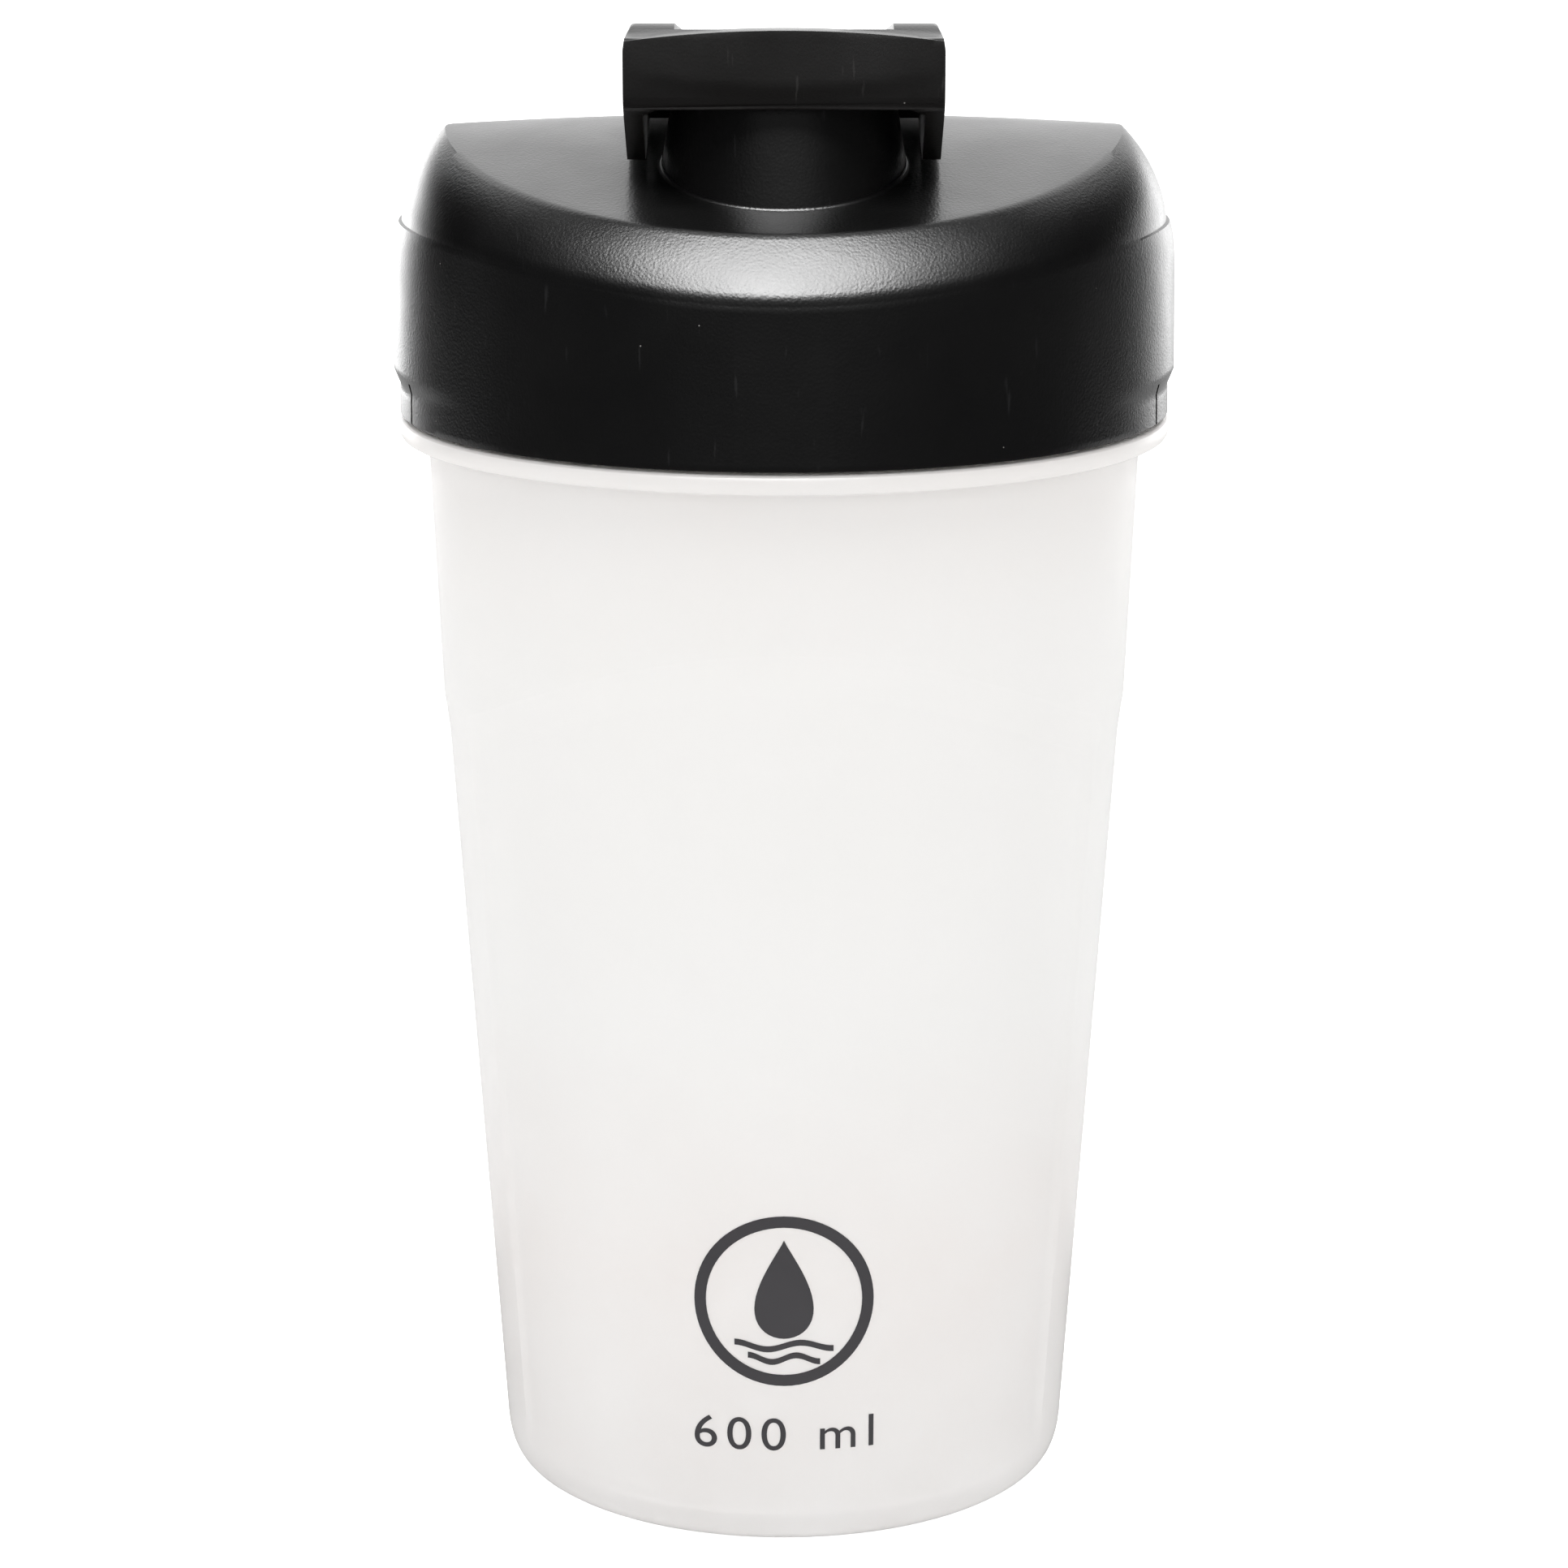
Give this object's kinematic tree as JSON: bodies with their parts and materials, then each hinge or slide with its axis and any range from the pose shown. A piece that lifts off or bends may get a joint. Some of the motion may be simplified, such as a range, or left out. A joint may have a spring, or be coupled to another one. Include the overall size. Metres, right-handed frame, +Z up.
{
  "type": "shaker bottle",
  "caption": "Translucent tapered shaker cup with a black screw lid, a drinking spout and a flip cap hinged over it.",
  "frame": {"origin": "centre of the bounding box on the table plane, on the axis of the cup", "axes": "+Z up along the cup's axis, -Y towards the side with the drinking spout, +X to the right seen from there"},
  "size_m": [0.098, 0.0968, 0.1886],
  "materials": {
    "cup_plastic": "translucent, fine satin",
    "lid_plastic": "fine grained satin",
    "seal_rubber": "soft matte",
    "strainer_plastic": "satin",
    "pin_plastic": "smooth",
    "cap_plastic": "satin",
    "stopper_rubber": "soft matte"
  },
  "bodies": {
    "cup": {"cup": "cup_plastic"},
    "seal": {"lid_seal": "seal_rubber"},
    "lid": {"lid": "lid_plastic", "strainer": "strainer_plastic", "hinge_pin": "pin_plastic"},
    "cap": {"flip_cap": "cap_plastic", "spout_stopper": "stopper_rubber"}
  },
  "joints": [
    {"name": "lid_lift", "type": "slide", "parent": "cup", "child": "seal", "axis": [0, 0, 1], "range_m": [0, 0.017]},
    {"name": "lid_turn", "type": "hinge", "parent": "seal", "child": "lid", "pos_m": [0, 0, 0.1384], "axis": [0, 0, 1], "range_deg": [0, 370]},
    {"name": "cap_flip", "type": "hinge", "parent": "lid", "child": "cap", "pos_m": [0, 0.012, 0.1804], "axis": [-1, 0, 0], "range_deg": [0, 160]}
  ],
  "couplings": [
    {"joint": "lid_lift", "follows": "lid_turn", "m_per_rad": 0.0025465}
  ]
}
